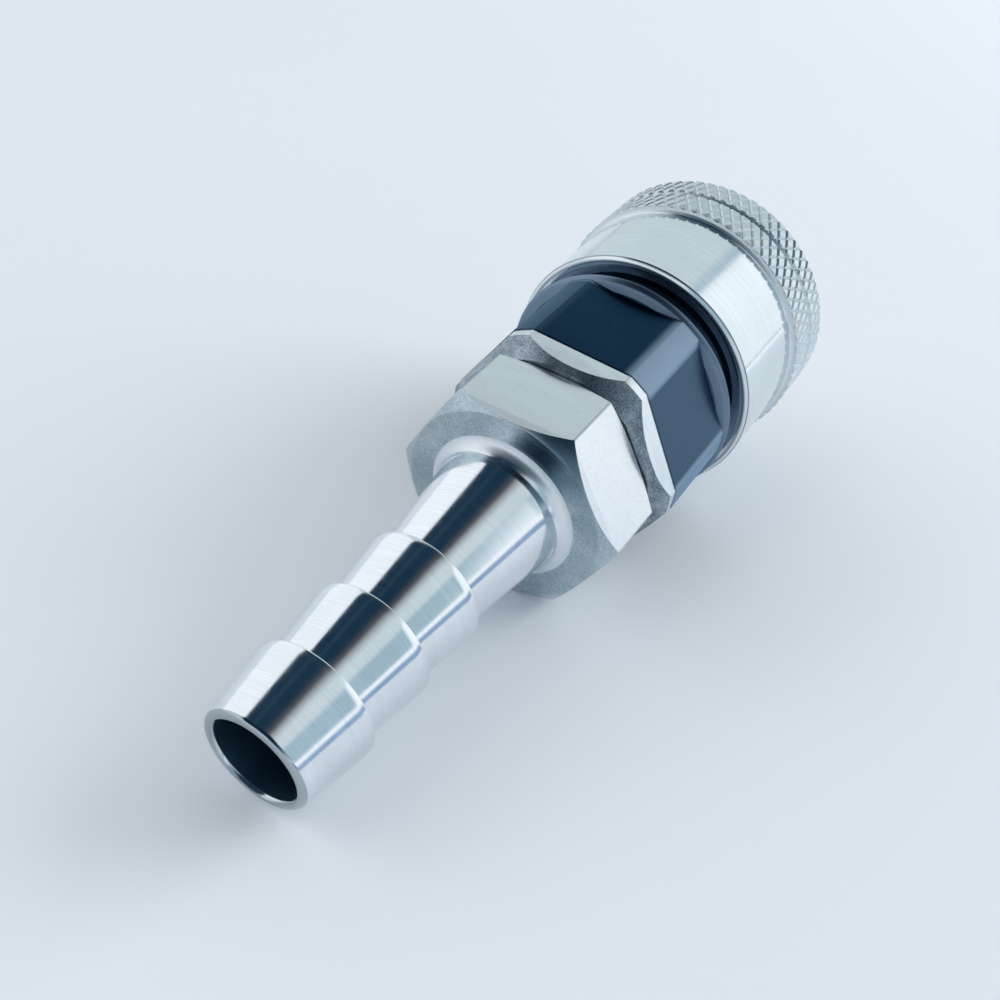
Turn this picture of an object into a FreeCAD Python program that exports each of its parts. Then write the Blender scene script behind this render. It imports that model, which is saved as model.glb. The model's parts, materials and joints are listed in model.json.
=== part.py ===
import FreeCAD, Part
import math
import os

# Air coupler socket with a hose barb, in millimetres.
# Every piece is built about the X axis, from the hose end at x = 0 to the plug end, with +Z up.
# Then all are tilted as they lie on a table, and moved so that the plug bore is at the origin.

Vector = FreeCAD.Vector

# Hose barb
passage_dia = 7.5
tip_dia = 9.2
tip_chamfer = 0.15
passage_chamfer = 0.2
ridge_dia = 11.0
ridge_step = 0.85
ridge_land = 0.65
ridge_pitch = 6.6
ridge_count = 3
root_length = 9.4
root_dia = 11.7
neck_dia = 12.0
neck_length = 2.2
neck_fillet = 1.3
barb_hex = 19.0
barb_hex_width = 7.7
barb_hex_face_dia = 18.9
barb_hex_turn_deg = -3.5
front_bevel_deg = 38.0
rear_bevel_deg = 15.0
spigot_dia = 15.9
spigot_length = 7.9
spigot_chamfer = 0.5
spigot_flare_dia = 13.0
undercut_dia = 13.8
undercut_width = 1.7

# Body, from its hexagon to its nose
joint_gap = 0.1
body_hex = 20.9
body_hex_width = 13.0
body_land_dia = 23.0
body_face_dia = 20.1
body_bevel_deg = 51.3
coat_thickness = 0.1
bare_width = 2.77
collar_dia = 23.7
collar_rim = 0.2
collar_cone_length = 0.8
spring_neck_dia = 20.8
flange_width = 1.8
flange_chamfer = 0.3
chamber_dia = 15.0
seat_bore_dia = 14.8
plug_bore_dia = 12.5
pilot_step = 0.25
pilot_length = 3.0
pilot_chamfer = 1.0
nose_wall = 2.35
nose_chamfer = 0.4
bore_before_balls = 2.8
nose_past_balls = 5.8
thread_clearance = 0.05

# Joint seal between the barb and the body
joint_ring_section = 1.4
joint_ring_clearance = 0.05
joint_ring_room = 0.2

# Ball lock
ball_dia = 3.5
ball_count = 6
ball_bite = 1.0
ball_hole_clearance = 0.05
ball_seat_overlap = 0.1
ball_seat_depth = 0.65
ball_sleeve_clearance = 0.35
land_overlap = 0.1

# Sleeve
sleeve_travel = 2.0
sleeve_stop_gap = 0.3
sleeve_bore_dia = 23.0
sleeve_wall = 1.1
sleeve_fit = 0.08
sleeve_rear_chamfer = 0.4
sleeve_rear_chamfer_width = 0.2
sleeve_front_setback = 0.3
sleeve_front_chamfer = 0.3
sleeve_lip_width = 0.55
sleeve_lip_step = 0.15
sleeve_front_lip = 1.5
sleeve_nose_clearance = 0.3
ball_land_length = 2.7
knurl_height = 0.65
knurl_length = 6.7
knurl_shoulder = 0.45
knurl_groove_from_shoulder = 3.55
knurl_groove_width = 0.6
knurl_groove_depth = 0.55

# Snap ring in the sleeve's rear
snap_ring_width = 0.8
snap_ring_bite = 0.4
snap_ring_fit = 0.05
snap_ring_neck_clearance = 0.35
snap_ring_stop_gap = 0.1
snap_ring_mouth_deg = 14.0

# Springs
sleeve_spring_wire = 0.9
sleeve_spring_turns = 3.5
valve_spring_wire = 0.8
valve_spring_turns = 4.0
valve_spring_dia = 10.4
valve_spring_length = 8.0
spring_end_gap = 0.05
spring_steps_per_turn = 20
wire_sides = 6
ring_sides = 8

# Valve, its guide and its seals
guide_thickness = 1.2
guide_hub_dia = 5.4
guide_hub_length = 3.2
guide_rim_width = 1.45
guide_spokes = 3
guide_spoke_width = 2.4
guide_fit = 0.05
stem_dia = 3.0
stem_fit = 0.05
stem_length = 11.6
stem_chamfer = 0.3
spring_pilot_clearance = 0.2
spring_pilot_length = 0.8
valve_head_gap = 1.1
valve_head_thickness = 1.1
valve_nose_dia = 8.8
valve_nose_length = 4.2
valve_nose_bore_dia = 6.4
valve_nose_floor = 0.7
valve_nose_chamfer = 0.3
valve_port_dia = 2.2
valve_ports = 4
valve_port_from_head = 2.3
valve_ring_section = 1.5
valve_ring_fit = 0.05
seat_gap = 0.13
seat_recess_step = 0.55
seat_ring_thickness = 1.7
seat_ring_clearance = 0.3
seat_ring_fit = 0.05
packing_gap = 0.1
packing_length = 2.9
packing_bore_dia = 10.0
packing_lip_height = 0.6
packing_lip_slope = 0.7

# Stations along the axis
root_start = ridge_pitch * ridge_count
root_end = root_start + root_length
barb_hex_start = root_end + neck_length
barb_hex_end = barb_hex_start + barb_hex_width
spigot_end = barb_hex_end + spigot_length
body_start = barb_hex_end + joint_gap
coat_start = body_start + bare_width
body_hex_end = body_start + body_hex_width
collar_front = body_hex_end + collar_rim
spring_neck_start = collar_front + collar_cone_length
sleeve_rear = collar_front + sleeve_stop_gap + sleeve_travel
snap_ring_start = sleeve_rear + sleeve_lip_width + snap_ring_fit
snap_ring_end = snap_ring_start + snap_ring_width
flange_start = snap_ring_end + snap_ring_stop_gap
flange_end = flange_start + flange_width
guide_front = spigot_end + guide_thickness
valve_head_rear = guide_front + valve_spring_length
valve_head_front = valve_head_rear + valve_head_thickness
valve_nose_end = valve_head_front + valve_nose_length
valve_ring_x = valve_head_front + valve_ring_fit + valve_ring_section / 2
seat_reach = math.sqrt(2) * (valve_ring_section / 2 + seat_gap)
seat_start = valve_ring_x + seat_reach - seat_recess_step
seat_end = seat_start + seat_ring_thickness
packing_start = seat_end + packing_gap
packing_end = packing_start + packing_length
plug_bore_start = packing_end + packing_gap
ball_x = plug_bore_start + bore_before_balls
nose_end = ball_x + nose_past_balls
land_end = ball_x + land_overlap
land_start = land_end - ball_land_length
sleeve_front = nose_end - sleeve_front_setback
relief_end = sleeve_front - sleeve_front_lip
knurl_start = sleeve_front - knurl_length

# Radii that follow from the fits
body_hex_radius = body_land_dia / 2
ball_radius = ball_dia / 2
ball_locked_radius = plug_bore_dia / 2 + ball_radius - ball_bite
nose_radius = plug_bore_dia / 2 + nose_wall
ball_land_radius = ball_locked_radius + ball_radius + ball_sleeve_clearance
relief_radius = ball_land_radius + ball_bite
sleeve_bore_radius = sleeve_bore_dia / 2
sleeve_radius = sleeve_bore_radius + sleeve_wall
knurl_radius = sleeve_radius + knurl_height
flange_radius = sleeve_bore_radius - sleeve_fit
snap_ring_radius = sleeve_bore_radius + snap_ring_bite
snap_ring_inner_radius = spring_neck_dia / 2 + snap_ring_neck_clearance
ridge_radius = ridge_dia / 2
valley_radius = ridge_radius - ridge_step
valve_head_radius = chamber_dia / 2 - valve_head_gap
valve_ring_radius = valve_nose_dia / 2 + valve_ring_fit + valve_ring_section / 2
joint_ring_radius = undercut_dia / 2 + joint_ring_clearance + joint_ring_section / 2
joint_ring_outer = joint_ring_radius + joint_ring_section / 2


def bevel_length(height, degrees):
    return height * math.tan(math.radians(degrees))


def dome(first, last):
    # The arc between two outline points whose centre is on the axis: its centre and radius.
    span = last[0] ** 2 - first[0] ** 2 + last[1] ** 2 - first[1] ** 2
    centre = span / (2 * (last[0] - first[0]))
    return centre, math.hypot(first[0] - centre, first[1])


def domed_bevel(first, last):
    centre, radius = dome(first, last)
    start_angle = math.atan2(first[1], first[0] - centre)
    angle = (start_angle + math.atan2(last[1], last[0] - centre)) / 2
    return (centre + radius * math.cos(angle), radius * math.sin(angle)), last


def at(x, radius):
    return Vector(x, 0, radius)


def turned(outline):
    # An outline point is (x, radius). A pair of them is an arc: its middle and its end.
    edges = []
    start = outline[0]
    here = start
    for item in outline[1:] + [start]:
        if isinstance(item[0], tuple):
            middle, end = item
            edges.append(Part.Arc(at(*here), at(*middle), at(*end)).toShape())
        else:
            end = item
            edges.append(Part.makeLine(at(*here), at(*end)))
        here = end
    face = Part.Face(Part.Wire(edges))
    return face.revolve(Vector(0, 0, 0), Vector(1, 0, 0), 360)


def tube(start, end, outer, inner):
    return turned([(start, inner), (start, outer), (end, outer), (end, inner)])


def rod(start, end, radius):
    return Part.makeCylinder(radius, end - start, Vector(start, 0, 0), Vector(1, 0, 0))


def hexagon(start, end, across_flats, turn_deg=0):
    # One flat faces up where turn_deg is 0.
    corner = across_flats / 2 / math.cos(math.radians(30))
    points = []
    for side in range(7):
        angle = math.radians(30 + 60 * side + turn_deg)
        points.append(Vector(start, -corner * math.sin(angle), corner * math.cos(angle)))
    return Part.Face(Part.makePolygon(points)).extrude(Vector(end - start, 0, 0))


def round_about_axis(shape, index, count, offset_deg=0):
    copy = shape.copy()
    copy.rotate(Vector(0, 0, 0), Vector(1, 0, 0), offset_deg + 360 * index / count)
    return copy


def wire_section(x, radius, thickness, sides):
    # A regular polygon about (x, radius), its flats towards the axis and the ends.
    corner = thickness / 2 / math.cos(math.pi / sides)
    points = []
    for side in range(sides + 1):
        angle = math.pi * (2 * side + 1) / sides
        points.append(at(x + corner * math.cos(angle), radius + corner * math.sin(angle)))
    return Part.makePolygon(points)


def o_ring(x, radius, section):
    # Squeezed in its groove, so it is flat where it touches.
    face = Part.Face(wire_section(x, radius, section, ring_sides))
    return face.revolve(Vector(0, 0, 0), Vector(1, 0, 0), 360)


def spring(start, end, mean_radius, wire, turns):
    # A coil of wire between two seats, a hair clear of each.
    first = wire / 2 + spring_end_gap
    rise = end - start - 2 * first
    steps = round(turns * spring_steps_per_turn)
    sections = []
    for step in range(steps + 1):
        section = wire_section(start + first + rise * step / steps, mean_radius, wire, wire_sides)
        section.rotate(Vector(0, 0, 0), Vector(1, 0, 0), 360 * turns * step / steps)
        sections.append(section)
    return Part.makeLoft(sections, True, True)


def arc_middle(centre_x, centre_radius, radius, degrees):
    angle = math.radians(degrees)
    return centre_x + radius * math.cos(angle), centre_radius + radius * math.sin(angle)


# Hose barb, one turned piece of hexagon bar

def barb_tip_outline():
    points = [(0, tip_dia / 2 - tip_chamfer), (tip_chamfer, tip_dia / 2)]
    for ridge in range(ridge_count):
        rear = ridge_pitch * (ridge + 1)
        points.append((rear - ridge_land, ridge_radius))
        points.append((rear, ridge_radius))
        points.append((rear, valley_radius))
    points.append((root_end, root_dia / 2))
    return points


def barb_shank():
    neck = neck_dia / 2
    fillet_start = barb_hex_start - neck_fillet
    middle = arc_middle(fillet_start, neck + neck_fillet, neck_fillet, -45)
    outline = [(0, 0)] + barb_tip_outline()
    outline += [(fillet_start, neck), (middle, (barb_hex_start, neck + neck_fillet))]
    outline += [(barb_hex_start + ridge_land, neck + neck_fillet), (barb_hex_start + ridge_land, 0)]
    return turned(outline)


def barb_hexagon():
    face = barb_hex_face_dia / 2
    corner = barb_hex / 2 / math.cos(math.radians(30))
    front = bevel_length(corner - face, front_bevel_deg)
    rear = bevel_length(corner - face, rear_bevel_deg)
    outline = [
        (barb_hex_start, 0),
        (barb_hex_start, face),
        domed_bevel((barb_hex_start, face), (barb_hex_start + front, corner)),
        (barb_hex_end - rear, corner),
        domed_bevel((barb_hex_end - rear, corner), (barb_hex_end, face)),
        (barb_hex_end, 0),
    ]
    flats = hexagon(barb_hex_start, barb_hex_end, barb_hex, barb_hex_turn_deg)
    return turned(outline).common(flats)


def barb_spigot():
    undercut = undercut_dia / 2
    thread = spigot_dia / 2
    undercut_end = barb_hex_end + undercut_width
    return turned([
        (barb_hex_end - ridge_land, 0),
        (barb_hex_end - ridge_land, undercut),
        (undercut_end, undercut),
        (undercut_end + thread - undercut, thread),
        (spigot_end - spigot_chamfer, thread),
        (spigot_end, thread - spigot_chamfer),
        (spigot_end, 0),
    ])


def hose_barb():
    passage = passage_dia / 2
    flare = spigot_flare_dia / 2
    hole = turned([
        (0, 0),
        (0, passage + passage_chamfer),
        (passage_chamfer, passage),
        (spigot_end - flare + passage, passage),
        (spigot_end, flare),
        (spigot_end, 0),
    ])
    solid = barb_shank().fuse([barb_hexagon(), barb_spigot()])
    return solid.cut(hole).removeSplitter()


# Body, one turned piece of hexagon bar

def body_bevel():
    # From the hose-end face out to the lands: its first and last outline points.
    face = body_face_dia / 2
    length = bevel_length(body_hex_radius - face, body_bevel_deg)
    return (body_start, face), (body_start + length, body_hex_radius)


def body_hexagon():
    # Bare at the hose end, then a coat that stands a little proud of it.
    first, last = body_bevel()
    bare = turned([(body_start, 0), first, domed_bevel(first, last), (coat_start, last[1]), (coat_start, 0)])
    bare = bare.common(hexagon(body_start, coat_start, body_hex))
    coat = rod(coat_start, body_hex_end, body_hex_radius + coat_thickness)
    coat = coat.common(hexagon(coat_start, body_hex_end, body_hex + 2 * coat_thickness))
    return [bare, coat]


def body_nose():
    neck = spring_neck_dia / 2
    collar = collar_dia / 2
    return turned([
        (body_hex_end, 0),
        (body_hex_end, collar),
        (collar_front, collar),
        (spring_neck_start, neck),
        (flange_start, neck),
        (flange_start, flange_radius - flange_chamfer),
        (flange_start + flange_chamfer, flange_radius),
        (flange_end - flange_chamfer, flange_radius),
        (flange_end, flange_radius - flange_chamfer),
        (flange_end, nose_radius),
        (nose_end - nose_chamfer, nose_radius),
        (nose_end, nose_radius - nose_chamfer),
        (nose_end, 0),
    ])


def body_bore():
    thread = spigot_dia / 2 + thread_clearance
    chamber = chamber_dia / 2
    seat = seat_bore_dia / 2
    plug = plug_bore_dia / 2
    pilot = plug + pilot_step
    pilot_end = bore_mouth_x()
    seal_end = barb_hex_end + undercut_width
    return turned([
        (body_start, 0),
        (body_start, joint_ring_outer),
        (seal_end, joint_ring_outer),
        (seal_end, thread),
        (spigot_end, thread),
        (spigot_end, chamber),
        (seat_start, chamber),
        (seat_start, seat),
        (plug_bore_start, seat),
        (plug_bore_start, plug),
        (pilot_end - pilot_length, plug),
        (pilot_end - pilot_length, pilot),
        (pilot_end, pilot),
        (nose_end, pilot + pilot_chamfer),
        (nose_end, 0),
    ])


def ball_hole():
    # Narrower at the plug bore, so that the ball can't drop through.
    plug = plug_bore_dia / 2
    wide = ball_radius + ball_hole_clearance
    narrow = ball_radius - ball_seat_overlap
    up = Vector(0, 0, 1)
    cone = Part.makeCone(narrow, wide, ball_seat_depth, Vector(ball_x, 0, plug), up)
    inner = Part.makeCylinder(narrow, plug / 2, Vector(ball_x, 0, plug / 2), up)
    outer = Part.makeCylinder(wide, nose_wall, Vector(ball_x, 0, plug + ball_seat_depth), up)
    return cone.fuse([inner, outer])


def socket_body():
    solid = body_nose().fuse(body_hexagon()).cut(body_bore())
    hole = ball_hole()
    holes = [round_about_axis(hole, index, ball_count) for index in range(ball_count)]
    return solid.cut(holes).removeSplitter()


def lock_ball(index):
    ball = Part.makeSphere(ball_radius, Vector(ball_x, 0, ball_locked_radius))
    return round_about_axis(ball, index, ball_count)


# Valve group

def joint_o_ring():
    x = barb_hex_end + joint_ring_room / 2 + joint_ring_section / 2
    return o_ring(x, joint_ring_radius, joint_ring_section)


def valve_guide():
    rim = chamber_dia / 2 - guide_fit
    hub = guide_hub_dia / 2
    solid = tube(spigot_end, guide_front, rim, rim - guide_rim_width)
    hub_solid = rod(spigot_end, spigot_end + guide_hub_length, hub)
    reach = rim - guide_rim_width / 2
    corner = Vector(spigot_end, -guide_spoke_width / 2, 0)
    spoke = Part.makeBox(guide_thickness, guide_spoke_width, reach, corner)
    spokes = [round_about_axis(spoke, index, guide_spokes) for index in range(guide_spokes)]
    stem_hole = rod(spigot_end, spigot_end + guide_hub_length, stem_dia / 2 + stem_fit)
    return solid.fuse([hub_solid] + spokes).cut(stem_hole).removeSplitter()


def valve():
    stem = stem_dia / 2
    pilot = valve_spring_dia / 2 - valve_spring_wire / 2 - spring_pilot_clearance
    nose = valve_nose_dia / 2
    bore = valve_nose_bore_dia / 2
    floor = valve_head_front + valve_nose_floor
    stem_end = valve_head_rear - stem_length
    solid = turned([
        (stem_end, 0),
        (stem_end, stem - stem_chamfer),
        (stem_end + stem_chamfer, stem),
        (valve_head_rear - spring_pilot_length, stem),
        (valve_head_rear - spring_pilot_length, pilot),
        (valve_head_rear, pilot),
        (valve_head_rear, valve_head_radius),
        (valve_head_front, valve_head_radius),
        (valve_head_front, nose),
        (valve_nose_end - valve_nose_chamfer, nose),
        (valve_nose_end, nose - valve_nose_chamfer),
        (valve_nose_end, bore),
        (floor, bore),
        (floor, 0),
    ])
    port_x = valve_head_front + valve_port_from_head
    port = Part.makeCylinder(valve_port_dia / 2, valve_nose_dia, Vector(port_x, 0, 0), Vector(0, 0, 1))
    ports = [round_about_axis(port, index, valve_ports) for index in range(valve_ports)]
    return solid.cut(ports)


def valve_o_ring():
    return o_ring(valve_ring_x, valve_ring_radius, valve_ring_section)


def valve_spring():
    return spring(guide_front, valve_head_rear, valve_spring_dia / 2, valve_spring_wire, valve_spring_turns)


def seat_ring():
    outer = seat_bore_dia / 2 - seat_ring_fit
    inner = valve_nose_dia / 2 + seat_ring_clearance
    recess = valve_ring_radius + seat_recess_step
    return turned([
        (seat_start, recess),
        (seat_start, outer),
        (seat_end, outer),
        (seat_end, inner),
        (seat_start + recess - inner, inner),
    ])


def packing():
    outer = seat_bore_dia / 2 - seat_ring_fit
    lip = packing_bore_dia / 2
    return turned([
        (packing_start, lip + packing_lip_height),
        (packing_start, outer),
        (packing_end, outer),
        (packing_end, lip + packing_lip_height),
        (packing_end - packing_lip_slope, lip),
        (packing_start + packing_lip_slope, lip),
    ])


# Sleeve group

def sleeve_outline():
    groove_x = knurl_start + knurl_groove_from_shoulder
    half_groove = knurl_groove_width / 2
    return [
        (sleeve_rear, sleeve_radius - sleeve_rear_chamfer),
        (sleeve_rear + sleeve_rear_chamfer_width, sleeve_radius),
        (knurl_start - knurl_shoulder, sleeve_radius),
        (knurl_start, knurl_radius),
        (groove_x - half_groove, knurl_radius),
        (groove_x, knurl_radius - knurl_groove_depth),
        (groove_x + half_groove, knurl_radius),
        (sleeve_front - sleeve_front_chamfer, knurl_radius),
        (sleeve_front, knurl_radius - sleeve_front_chamfer),
    ]


def sleeve():
    lip = sleeve_bore_radius + sleeve_lip_step
    groove = snap_ring_radius + snap_ring_fit
    groove_start = snap_ring_start - snap_ring_fit
    groove_end = snap_ring_end + snap_ring_fit
    nose_hole = nose_radius + sleeve_nose_clearance
    inside = [
        (sleeve_front, nose_hole + sleeve_front_chamfer),
        (sleeve_front - sleeve_front_chamfer, nose_hole),
        (relief_end, nose_hole),
        (relief_end, relief_radius),
        (land_end + relief_radius - ball_land_radius, relief_radius),
        (land_end, ball_land_radius),
        (land_start, ball_land_radius),
        (land_start, sleeve_bore_radius),
        (groove_end, sleeve_bore_radius),
        (groove_end, groove),
        (groove_start, groove),
        (groove_start, lip),
        (sleeve_rear, lip),
    ]
    return turned(sleeve_outline() + inside)


def sleeve_ring():
    # A split ring, its mouth on the underside.
    ring = tube(snap_ring_start, snap_ring_end, snap_ring_radius, snap_ring_inner_radius)
    width = 2 * snap_ring_radius * math.sin(math.radians(snap_ring_mouth_deg / 2))
    mouth = Part.makeBox(snap_ring_width, width, snap_ring_radius, Vector(snap_ring_start, -width / 2, -snap_ring_radius))
    return ring.cut(mouth)


def sleeve_spring():
    mean = (nose_radius + sleeve_bore_radius) / 2
    return spring(flange_end, land_start, mean, sleeve_spring_wire, sleeve_spring_turns)


# Where the coupler lies: on the sleeve's rear edge, and on whichever comes first of the lower
# flat's hose-end edge, the first ridge and the tip.

def resting_tilt():
    rear_x = sleeve_rear + sleeve_rear_chamfer_width
    flat = body_hex / 2
    centre, radius = dome(*body_bevel())
    flat_x = centre - math.sqrt(radius ** 2 - flat ** 2)
    supports = [
        (flat_x, flat),
        (ridge_pitch - ridge_land, ridge_radius),
        (tip_chamfer, tip_dia / 2),
    ]
    return min(math.atan2(sleeve_radius - height, rear_x - x) for x, height in supports)


def bore_mouth_x():
    return nose_end - pilot_chamfer


def settled(shape):
    placed = shape.copy()
    placed.translate(Vector(-bore_mouth_x(), 0, 0))
    placed.rotate(Vector(0, 0, 0), Vector(0, 1, 0), -math.degrees(resting_tilt()))
    return placed


def pieces():
    shapes = {
        "hose_barb": hose_barb(),
        "joint_o_ring": joint_o_ring(),
        "socket_body": socket_body(),
        "valve_guide": valve_guide(),
        "valve_spring": valve_spring(),
        "valve": valve(),
        "valve_o_ring": valve_o_ring(),
        "seat_ring": seat_ring(),
        "packing": packing(),
        "sleeve": sleeve(),
        "sleeve_ring": sleeve_ring(),
        "sleeve_spring": sleeve_spring(),
    }
    for index in range(ball_count):
        shapes[f"lock_ball_{index + 1}"] = lock_ball(index)
    return shapes


def export():
    os.makedirs("parts", exist_ok=True)
    for node, shape in pieces().items():
        settled(shape).exportStep(f"parts/{node}.step")


export()
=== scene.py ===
import math

import bmesh
import bpy
from mathutils import Matrix, Vector
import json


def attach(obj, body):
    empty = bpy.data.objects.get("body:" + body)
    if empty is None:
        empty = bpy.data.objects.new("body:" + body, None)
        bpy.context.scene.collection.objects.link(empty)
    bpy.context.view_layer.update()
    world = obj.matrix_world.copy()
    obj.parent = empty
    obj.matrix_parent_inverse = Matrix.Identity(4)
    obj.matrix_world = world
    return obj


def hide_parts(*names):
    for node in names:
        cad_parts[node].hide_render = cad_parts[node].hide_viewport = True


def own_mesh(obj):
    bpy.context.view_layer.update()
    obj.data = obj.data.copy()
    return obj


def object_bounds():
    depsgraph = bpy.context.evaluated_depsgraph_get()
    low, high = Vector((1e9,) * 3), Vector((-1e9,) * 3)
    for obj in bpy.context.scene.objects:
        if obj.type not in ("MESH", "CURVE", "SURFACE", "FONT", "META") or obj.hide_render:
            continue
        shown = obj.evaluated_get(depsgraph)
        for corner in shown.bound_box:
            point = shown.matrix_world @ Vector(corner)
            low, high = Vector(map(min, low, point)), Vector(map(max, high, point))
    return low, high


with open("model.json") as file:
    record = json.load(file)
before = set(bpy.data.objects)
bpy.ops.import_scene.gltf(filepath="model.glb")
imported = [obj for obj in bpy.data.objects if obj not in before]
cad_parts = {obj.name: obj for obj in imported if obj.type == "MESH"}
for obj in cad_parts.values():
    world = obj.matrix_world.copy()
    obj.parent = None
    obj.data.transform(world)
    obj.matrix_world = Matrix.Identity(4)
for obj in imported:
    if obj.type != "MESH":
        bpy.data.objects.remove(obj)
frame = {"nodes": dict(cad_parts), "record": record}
cadLow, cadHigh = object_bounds()

# Lengths are in millimetres along the coupler's own axis, from the hose end at x = 0.
# Pieces are shaped there and then laid down as the coupler lies on the table.
layout = {"boreMouth": 71.1945, "millimetre": 0.001}
boreAxis = next(m["axis"] for m in frame["record"]["mounts"] if m["name"] == "plug_bore")
restingTilt = math.atan2(boreAxis[2], boreAxis[0])
layDown = (
    Matrix.Scale(layout["millimetre"], 4)
    @ Matrix.Rotation(-restingTilt, 4, "Y")
    @ Matrix.Translation((-layout["boreMouth"], 0, 0))
)
axisX = (1, 0, 0)
centre = (0, 0, 0)


# Shaping

shaping = {
    "cornerSegments": 7, "mergeDistance": 0.0005, "cutDistance": 0.0001,
    "flatMargin": 0.06, "longerThan": 5, "softDegrees": 12, "bevelSegments": 6,
}


def offAxis(point):
    return math.hypot(point.y, point.z)


def allParts(shape):
    return shape.verts[:] + shape.edges[:] + shape.faces[:]


def spinRound(shape, steps, axis=axisX, turns=1.0, rise=0.0):
    # With a rise it becomes a coil, which doesn't close on itself.
    bmesh.ops.spin(
        shape, geom=allParts(shape), cent=centre, axis=axis, dvec=(rise / steps, 0, 0),
        angle=2 * math.pi * turns, steps=steps, use_merge=not rise, use_duplicate=False,
    )


def cleanShape(shape):
    bmesh.ops.remove_doubles(shape, verts=shape.verts, dist=shaping["mergeDistance"])
    bmesh.ops.recalc_face_normals(shape, faces=shape.faces)


def turnOutline(outline, steps):
    # An outline point is (x, radius) or (x, radius, corner rounding). The outline closes on itself.
    shape = bmesh.new()
    verts = [shape.verts.new((point[0], 0, point[1])) for point in outline]
    for i in range(len(verts)):
        shape.edges.new((verts[i - 1], verts[i]))
    rounded = {}
    for vert, point in zip(verts, outline):
        if len(point) > 2:
            rounded.setdefault(point[2], []).append(vert)
    for size, corners in rounded.items():
        bmesh.ops.bevel(
            shape, geom=corners, affect="VERTICES", offset=size, offset_type="OFFSET",
            segments=shaping["cornerSegments"], profile=0.5, material=-1,
        )
    spinRound(shape, steps)
    cleanShape(shape)
    return shape


def cutFlats(shape, acrossFlats, turn=0.0):
    # Six cuts make a turned disc a hexagon. One flat faces up where turn is 0.
    for side in range(6):
        angle = math.radians(60 * side) + turn
        out = Vector((0, -math.sin(angle), math.cos(angle)))
        cut = bmesh.ops.bisect_plane(
            shape, geom=allParts(shape), dist=shaping["cutDistance"],
            plane_co=out * acrossFlats / 2, plane_no=out, clear_outer=True,
        )
        rim = [item for item in cut["geom_cut"] if isinstance(item, bmesh.types.BMEdge)]
        bmesh.ops.edgeloop_fill(shape, edges=rim)
    bmesh.ops.recalc_face_normals(shape, faces=shape.faces)


def onFlat(edge, acrossFlats):
    return all(offAxis(vert.co) > acrossFlats / 2 - shaping["flatMargin"] for vert in edge.verts)


def alongAxis(edge):
    first, last = edge.verts
    return abs(first.co.x - last.co.x) > shaping["longerThan"]


def softenEdges(shape, size, sharperThan, chosen, segments=2):
    least = math.radians(sharperThan)
    edges = [
        edge for edge in shape.edges
        if len(edge.link_faces) == 2 and edge.calc_face_angle() > least and chosen(edge)
    ]
    bmesh.ops.bevel(
        shape, geom=edges, affect="EDGES", offset=size, offset_type="OFFSET", segments=segments,
        profile=0.5, material=-1, clamp_overlap=True,
    )


def domedBevel(first, last):
    # Points along an arc whose centre is on the axis.
    span = last[0] ** 2 - first[0] ** 2 + last[1] ** 2 - first[1] ** 2
    middle = span / (2 * (last[0] - first[0]))
    radius = math.hypot(first[0] - middle, first[1])
    start = math.atan2(first[1], first[0] - middle)
    turn = math.atan2(last[1], last[0] - middle) - start
    points = []
    for step in range(shaping["bevelSegments"] + 1):
        angle = start + turn * step / shaping["bevelSegments"]
        points.append((middle + radius * math.cos(angle), radius * math.sin(angle)))
    return points


def joinShapes(shapes):
    whole = bmesh.new()
    for shape in shapes:
        part = bpy.data.meshes.new("part")
        shape.to_mesh(part)
        shape.free()
        whole.from_mesh(part)
        bpy.data.meshes.remove(part)
    return whole


def finishPiece(name, shape, body, stoodFor, sharpDegrees=14):
    bmesh.ops.transform(shape, matrix=layDown, verts=shape.verts)
    bmesh.ops.recalc_face_normals(shape, faces=shape.faces)
    mesh = bpy.data.meshes.new(name)
    shape.to_mesh(mesh)
    shape.free()
    mesh.polygons.foreach_set("use_smooth", [True] * len(mesh.polygons))
    mesh.set_sharp_from_angle(angle=math.radians(sharpDegrees))
    piece = bpy.data.objects.new(name, mesh)
    bpy.context.scene.collection.objects.link(piece)
    evened = piece.modifiers.new("evenNormals", "WEIGHTED_NORMAL")
    evened.keep_sharp = True
    evened.weight = 100
    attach(piece, body)
    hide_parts(stoodFor)
    return piece


# Hose barb: three ridges, a long root, and its hexagon

barb = {
    "passage": 3.75, "mouthBevel": 0.2, "tipRadius": 4.58, "ridges": 3, "ridgeRadius": 5.5,
    "valleyRadius": 4.65, "pitch": 6.6, "land": 0.65, "rootEnd": 29.2, "rootRadius": 5.85,
    "neckRadius": 6.0, "fillet": 1.3, "filletSteps": 12, "hexStart": 31.4, "hexEnd": 39.1,
    "acrossFlats": 19.0, "turn": math.radians(-3.5), "faceRadius": 9.45, "frontBevel": 1.187,
    "rearBevel": 0.55, "edgeBevel": 0.08, "sealNeckRadius": 6.9, "sealNeckEnd": 40.8,
    "spigotStart": 41.85, "spigotRadius": 7.95, "spigotBevel": 0.5, "spigotEnd": 47.0,
    "spigotMouth": 6.5, "steps": 180,
    "rounding": {
        "mouth": 0.12, "tip": 0.36, "landStart": 0.2, "landEnd": 0.14, "valley": 0.1, "root": 0.3,
    },
    "shadedTurnedFace": {"along": (31.35, 32.65), "inside": 7.2, "lean": -0.3},
}


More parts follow.
